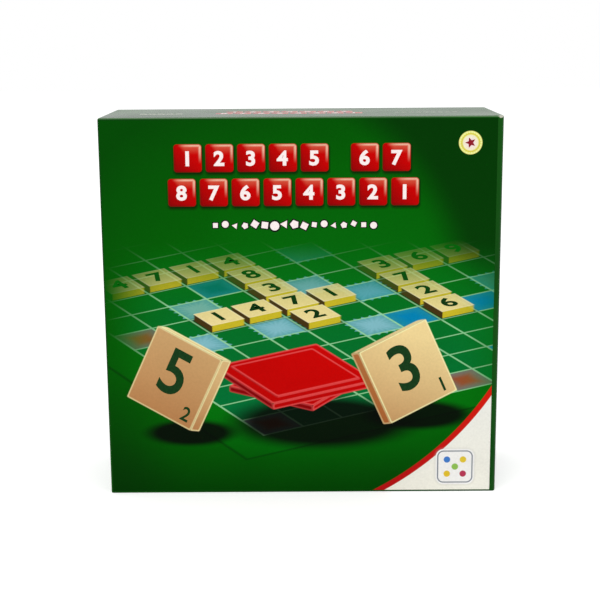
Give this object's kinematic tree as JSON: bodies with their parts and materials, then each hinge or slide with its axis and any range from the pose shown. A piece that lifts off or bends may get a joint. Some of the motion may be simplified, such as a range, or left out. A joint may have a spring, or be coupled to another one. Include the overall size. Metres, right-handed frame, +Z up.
{
  "type": "boxed word board game",
  "caption": "Square two-part card game box standing upright, its printed lid lifting off a base that holds a folded board, letter tiles, tile racks, a cloth bag and rules.",
  "frame": {"origin": "under the middle of the box, on the surface that it stands on", "axes": "+Z up, the printed front of the lid faces -Y, +X is to the right seen from the front"},
  "size_m": [0.27, 0.094, 0.262],
  "materials": {
    "lid_card": "gloss laminated print",
    "base_card": "gloss laminated print",
    "board_card": "satin laminated print",
    "hinge_cloth": "book cloth",
    "insert_card": "raw card",
    "tile_plastic": "satin moulded",
    "rack_plastic": "gloss moulded",
    "bag_cloth": "plain weave",
    "rules_paper": "offset paper"
  },
  "bodies": {
    "base": {"base": "base_card", "board_leaf_1": "board_card", "board_leaf_2": "board_card", "board_leaf_3": "board_card", "board_leaf_4": "board_card", "board_hinge_1": "hinge_cloth", "board_hinge_2": "hinge_cloth", "board_hinge_3": "hinge_cloth", "insert_tray": "insert_card", "insert_divider_lower": "insert_card", "insert_divider_upper": "insert_card", "cell_shelf": "insert_card", "cell_upright_1": "insert_card", "cell_upright_2": "insert_card", "cell_upright_3": "insert_card", "cell_upright_4": "insert_card", "cell_upright_5": "insert_card", "tile_stack_01": "tile_plastic", "tile_stack_02": "tile_plastic", "tile_stack_03": "tile_plastic", "tile_stack_04": "tile_plastic", "tile_stack_05": "tile_plastic", "tile_stack_06": "tile_plastic", "tile_stack_07": "tile_plastic", "tile_stack_08": "tile_plastic", "tile_stack_09": "tile_plastic", "tile_stack_10": "tile_plastic", "letter_tile_01": "tile_plastic", "letter_tile_02": "tile_plastic", "letter_tile_03": "tile_plastic", "letter_tile_04": "tile_plastic", "letter_tile_05": "tile_plastic", "letter_tile_06": "tile_plastic", "letter_tile_07": "tile_plastic", "letter_tile_08": "tile_plastic", "letter_tile_09": "tile_plastic", "letter_tile_10": "tile_plastic", "tile_rack_1": "rack_plastic", "tile_rack_2": "rack_plastic", "tile_rack_3": "rack_plastic", "tile_rack_4": "rack_plastic", "tile_bag": "bag_cloth", "rules_leaflet": "rules_paper"},
    "lid": {"lid": "lid_card"}
  },
  "joints": [
    {"name": "lid_lift", "type": "slide", "parent": "base", "child": "lid", "axis": [0, -1, 0], "range_m": [0, 0.25]}
  ]
}
